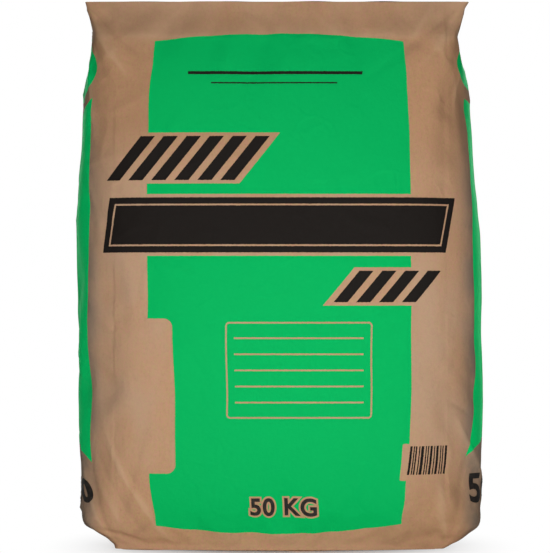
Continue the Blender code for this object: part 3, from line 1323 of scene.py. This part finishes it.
coverLook = {
    "lighter": 1.10,
    "specular": 0.30,
    "cornerRadius": 0.004,
    "wander": 0.040,         # how far the stained border wanders
    "wanderNoise": (24.0, 5.0, 0.65),
    # distance from the edge of the sheet, below 0 is inside it
    "pasteInside": (-0.024, -0.008),
    "pasteOutside": (-0.008, 0.002, 1.0, 0.2),
    "pastePatches": (13.0, 3.0, 0.55, 0.40, 0.60, 0.15, 1.0),
    "pasteShare": 0.30,
    "cement": (0.42, 0.40, 0.37, 1),
    "cementAt": (-0.150, -0.196),    # sideways, thickest near the valve
    "cementPatches": (70.0, 5.0, 0.7, 0.42, 0.70, 0.0, 0.75),
}


def spilt(place, colour, look):
    # cement spilt on the paper
    share = ranged(split(place)[0], *look["cementAt"]) * patches(place, *look["cementPatches"])
    return mixColour(share, colour, look["cement"])


def coverPaper():
    material, tree, shader = newMaterial("cover_sheet_paper")
    place = objectPlace(tree)
    colour, normal, mottle = kraftLook(place, coverLook["lighter"])
    x, y, _ = split(place)
    low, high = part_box("top_cover_sheet")
    edge = boxAway(x, y, (low.x, high.x, low.y, high.y), coverLook["cornerRadius"])
    edge += (noiseOf(place, *coverLook["wanderNoise"]) - 0.5) * coverLook["wander"]
    wet = ranged(edge, *coverLook["pasteInside"]) * ranged(edge, *coverLook["pasteOutside"])
    wet *= patches(place, *coverLook["pastePatches"]) * coverLook["pasteShare"]
    # the paste stain shares its colour with the painted shade in fold hollows
    colour = spilt(place, mixColour(wet, colour, ink["hollowShadeAndPaste"]), coverLook)
    finishPaper(shader, colour, normal, mottle, kraft["roughness"], coverLook["specular"])
    return material


# The paper of the valve sleeve, dusty at its mouth

sleeveLook = {
    "lighter": 1.22,
    "roughness": 0.84,
    "specular": 0.25,
    "cement": (0.40, 0.385, 0.36, 1),
    "cementAt": (-0.160, -0.190),
    "cementPatches": (120.0, 5.0, 0.75, 0.34, 0.60, 0.0, 0.85),
}


def sleevePaper():
    material, tree, shader = newMaterial("valve_sleeve_paper")
    place = objectPlace(tree)
    colour, normal, mottle = kraftLook(place, sleeveLook["lighter"])
    colour = spilt(place, colour, sleeveLook)
    finishPaper(shader, colour, normal, mottle, sleeveLook["roughness"], sleeveLook["specular"])
    return material


# The weight, printed in plain figures on the front and on both narrow sides

figures = {
    "grain": 0.0018,         # the flat letters are cut this fine before they are laid on the sack
    "spacing": 1.08,
    # which end of the words is placed, how much heavier they are than the plain face, how far
    # off the paper, how much wider and how far slanted; places and sizes are in metres
    "front": {
        "words": "50 KG", "end": "CENTER", "round": 0.0035, "up": 0.0390, "size": 0.0250,
        "heavier": 0.00070, "off": 0.00030, "wider": 1.0, "slant": 0.0,
    },
    # bare paper left round them
    "ground": {"heavier": 0.00250, "off": 0.00016},
    "left": {
        "words": "50", "end": "RIGHT", "round": -0.1945, "up": 0.0515, "size": 0.0310,
        "heavier": 0.00140, "off": 0.00032, "wider": 1.50, "slant": -0.35,
    },
    "right": {
        "words": "50", "end": "LEFT", "round": 0.2006, "up": 0.0508, "size": 0.0405,
        "heavier": 0.00120, "off": 0.00032, "wider": 1.16, "slant": 0.16,
    },
    "wornBlack": (0.030, 0.024, 0.020, 1),
    "wornPatches": (240.0, 3.0, 0.6, 0.35, 0.75),
    "inkRoughness": 0.58,
    "wornRoughness": 0.08,
    "specular": 0.18,
    "wrapUp": 0.12,          # the part of the sack's map that the figures lie on
    "wrapRound": 0.40,
}


def paperWrap(form):
    # the sack spread flat on its map, to find where a spot of the map lies on the sack
    mesh = form.data
    mesh.calc_loop_triangles()
    corners = readArray(mesh.loop_triangles, "loops", 3, int).ravel()
    owners = readArray(mesh.loop_triangles, "vertices", 3, int)
    flat = np.zeros((len(corners), 3))
    flat[:, :2] = readArray(mesh.uv_layers["paper"].data, "uv", 2)[corners]
    near = (flat[:, 1] < figures["wrapUp"]) & (np.abs(flat[:, 0]) < figures["wrapRound"])
    kept = near.reshape(-1, 3).all(axis=1)
    flat = flat.reshape(-1, 3, 3)[kept].reshape(-1, 3)
    triangles = [(i, i + 1, i + 2) for i in range(0, len(flat), 3)]
    tree = BVHTree.FromPolygons(flat.tolist(), triangles, all_triangles=True)
    return tree, flat, owners[kept], readPoints(mesh), readNormals(mesh)


def layOnSack(letters, wrap, off):
    tree, flat, owners, places, normals = wrap
    spread = readPoints(letters.data)
    for index, spot in enumerate(spread):
        _, _, face, _ = tree.ray_cast(Vector((spot[0], spot[1], 1)), Vector((0, 0, -1)))
        a, b, c = (flat[3 * face + i, :2] for i in range(3))
        share = np.linalg.solve(np.array([b - a, c - a]).T, spot[:2] - a)
        weights = np.array([1 - share.sum(), share[0], share[1]])
        spread[index] = weights @ (places[owners[face]] + off * normals[owners[face]])
    writePoints(letters.data, spread)


def addFigures(wrap, name, values, material):
    deselectAll()
    bpy.ops.object.text_add(location=(values["round"], values["up"], 0))
    letters = bpy.context.object
    letters.data.body = values["words"]
    letters.data.size = values["size"]
    letters.data.offset = values["heavier"]
    letters.data.align_x = values["end"]
    letters.data.resolution_u = 12
    letters.data.space_character = figures["spacing"]
    letters.data.shear = values["slant"]
    letters.scale.x = values["wider"]
    bpy.ops.object.convert(target="MESH")
    letters = bpy.context.object
    rename(letters, name)
    bpy.ops.object.transform_apply(location=True, rotation=True, scale=True)
    spread = readPoints(letters.data)
    bpy.ops.object.mode_set(mode="EDIT")
    for axis in (0, 1):
        first, last = spread[:, axis].min(), spread[:, axis].max()
        for place in np.arange(first + figures["grain"] / 2, last, figures["grain"]):
            spot, away = [0.0, 0.0, 0.0], [0.0, 0.0, 0.0]
            spot[axis], away[axis] = place, 1.0
            cutAt(spot, away)
    bpy.ops.object.mode_set(mode="OBJECT")
    layOnSack(letters, wrap, values["off"])
    dress(letters, material)
    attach(letters, "root")


def blackInk():
    material, tree, shader = newMaterial("black_ink")
    worn = patches(objectPlace(tree), *figures["wornPatches"])
    feed(shader, {
        "Base Color": mixColour(worn, ink["black"], figures["wornBlack"]),
        "Roughness": worn * figures["wornRoughness"] + figures["inkRoughness"],
        "Specular IOR Level": figures["specular"],
    })
    return material


def bareGround():
    material, tree, shader = newMaterial("bare_kraft_paper")
    colour, normal, mottle = kraftLook(objectPlace(tree))
    finishPaper(shader, colour, normal, mottle, kraft["roughness"], figures["specular"])
    return material


# All pieces, built in turn

sackForm, sackGrid, sackRow = addSackForm()
sackWall = mapPaper(sackForm, sackGrid, sackRow)
creaseRims(sackForm, sackWall, sackRow)
print("sack form:", len(sackForm.data.polygons), "faces")
swellPaper(sackForm, sackRow)
fitOutline(sackForm, sackWall, sackRow)
smoothing = sackForm.modifiers.new("smooth", "SUBSURF")
smoothing.levels = 1
smoothing.render_levels = 1
applyModifiers(sackForm)
foldPaper(sackForm)
shadeSmooth(sackForm)
dress(sackForm, printedKraft())
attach(sackForm, "root")
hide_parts("sack")
print("sack finished")

glued = addLap(sackForm)
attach(glued, "root")
sheetPaper = coverPaper()
dress(addCoverSheet("top_cover_sheet", "top_cover_paper", True, 21), sheetPaper)
dress(addCoverSheet("bottom_cover_sheet", "bottom_cover_paper", False, 31), sheetPaper)
dress(addSleeve(), sleevePaper())
print("lap, cover sheets and valve sleeve finished")

wrap = paperWrap(sackForm)
addFigures(wrap, "front_weight_ground", {**figures["front"], **figures["ground"]}, bareGround())
weightInk = blackInk()
for side in ("front", "left", "right"):
    addFigures(wrap, side + "_weight", figures[side], weightInk)
print("figures finished")


# Floor, lights and background

studio = {
    "floorShade": (0.88, 0.88, 0.88, 1),
    "floorRoughness": 0.9,
    "floorSize": 24.0,
    "whiteFrom": 0.02,       # the floor fades into the white background from here
    "whiteBy": 0.26,
    # name, place, size, power and the height that it is turned to
    "lamps": (
        ("key", (0.05, -1.00, 0.21), (0.30, 0.30), 6.9, 0.24),
        ("front", (0.0, -2.7, 0.25), (1.2, 0.8), 7.4, 0.30),
        ("back_left", (-0.95, 2.0, 0.8), (0.9, 0.9), 15.0, 0.28),
        ("back_right", (0.95, 2.0, 0.8), (0.9, 0.9), 15.0, 0.28),
        ("top", (0.0, 0.1, 2.4), (1.2, 0.8), 6.5, 0.50),
    ),
    "worldColour": (1, 1, 1, 1),
    "worldStrength": 0.09,
    "backgroundStrength": 1.0,
}


def addFloor():
    deselectAll()
    bpy.ops.mesh.primitive_plane_add(size=studio["floorSize"], location=(0, 0, 0))
    floor = bpy.context.object
    floor.name = "floor"
    material, tree, shader = newMaterial("studio_floor")
    feed(shader, {"Base Color": studio["floorShade"], "Roughness": studio["floorRoughness"]})
    x, y, _ = split(objectPlace(tree))
    faded = ranged(lengthOf(x, y), studio["whiteFrom"], studio["whiteBy"])
    # the glow is only seen, it lights nothing
    seen = nodeOf(tree, "LightPath", {}, "Is Camera Ray")
    glow = nodeOf(tree, "Emission", {})
    blend = nodeOf(tree, "MixShader", {0: faded * seen, 1: Varying(shader.outputs[0]), 2: glow})
    feed(tree.nodes["Material Output"], {"Surface": blend})
    floor.data.materials.append(material)


def addLamp(name, place, size, power, aim):
    data = bpy.data.lights.new(name, "AREA")
    data.shape = "RECTANGLE"
    data.size, data.size_y = size
    data.energy = power
    lamp = bpy.data.objects.new(name, data)
    lamp.location = place
    lamp.rotation_euler = (Vector((0, 0, aim)) - Vector(place)).to_track_quat("-Z", "Y").to_euler()
    lamp.visible_camera = False
    bpy.context.scene.collection.objects.link(lamp)


def addWorld():
    # even light from all round, in front of a plain white background
    world = bpy.data.worlds.new("studio")
    world.use_nodes = True
    tree = world.node_tree
    even = tree.nodes["Background"]
    feed(even, {"Color": studio["worldColour"], "Strength": studio["worldStrength"]})
    white = {"Color": studio["worldColour"], "Strength": studio["backgroundStrength"]}
    seen = nodeOf(tree, "LightPath", {}, "Is Camera Ray")
    plain = nodeOf(tree, "Background", white)
    blend = nodeOf(tree, "MixShader", {0: seen, 1: Varying(even.outputs[0]), 2: plain})
    feed(tree.nodes["World Output"], {"Surface": blend})
    bpy.context.scene.world = world


addFloor()
for lampValues in studio["lamps"]:
    addLamp(*lampValues)
addWorld()
bpy.context.scene.view_settings.view_transform = "Standard"
print("studio lit")
